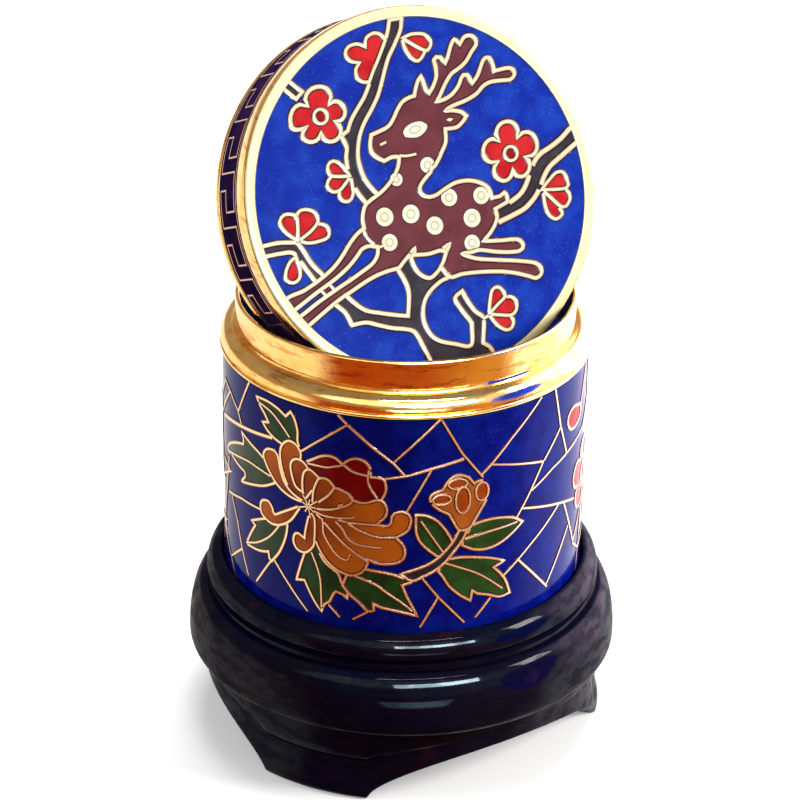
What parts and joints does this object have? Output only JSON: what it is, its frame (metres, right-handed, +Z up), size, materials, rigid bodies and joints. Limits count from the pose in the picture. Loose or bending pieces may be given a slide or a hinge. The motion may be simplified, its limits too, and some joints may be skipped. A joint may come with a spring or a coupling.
{
  "type": "cloisonne enamel box",
  "caption": "Round lidded box in cobalt cloisonne enamel with a gilt collar, its lid stood in the mouth, on a black lacquered wooden stand",
  "frame": {"origin": "on the ground under the stand, on the box's axis", "axes": "+Z up along the box's axis, -Y the front, which shows the chrysanthemum and the lid's picture, +X to the viewer's right"},
  "size_m": [0.0604, 0.0604, 0.1022],
  "materials": {
    "black_lacquer": "turned wood under glossy black lacquer",
    "enamel": "cobalt enamel polished level with its gilt wires",
    "gilt": "polished gilding with fine wipe marks",
    "lid_enamel": "cobalt enamel picture with gilt wires and border"
  },
  "bodies": {
    "root": {"wooden_stand": "black_lacquer", "box_body": "enamel", "neck_ring": "gilt", "lid": "lid_enamel"}
  },
  "joints": []
}
